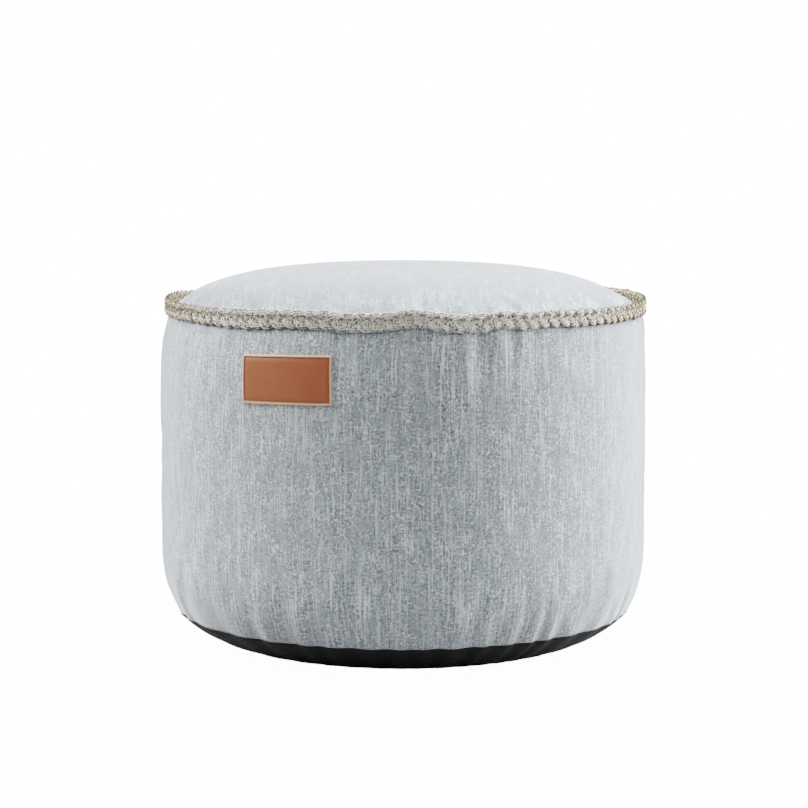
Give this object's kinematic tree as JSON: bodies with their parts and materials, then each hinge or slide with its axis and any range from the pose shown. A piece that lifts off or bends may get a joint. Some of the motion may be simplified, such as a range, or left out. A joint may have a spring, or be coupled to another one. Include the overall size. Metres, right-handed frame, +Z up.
{
  "type": "bean bag footstool",
  "caption": "Round drum-shaped bean bag footstool in light melange cloth, with a crowned top, a plaited cord round the top seam, a black gathered base and a plain leather patch.",
  "frame": {"origin": "middle of the flat underside, on the floor", "axes": "+Z up; -Y is the front, with the patch on its left; +X to the right seen from the front"},
  "size_m": [0.5035, 0.502, 0.389],
  "materials": {
    "melange_cloth": "matt melange weave with upright slubs",
    "black_base_cloth": "close black cloth with a slight sheen",
    "natural_fibre_plait": "dry plaited natural fibre yarn",
    "tan_leather": "smooth satin, with a dark line pressed inside its edge"
  },
  "bodies": {
    "root": {"drum_body": "melange_cloth", "top_panel": "melange_cloth", "base_panel": "black_base_cloth", "braid_trim": "natural_fibre_plait", "leather_patch": "tan_leather"}
  },
  "joints": []
}
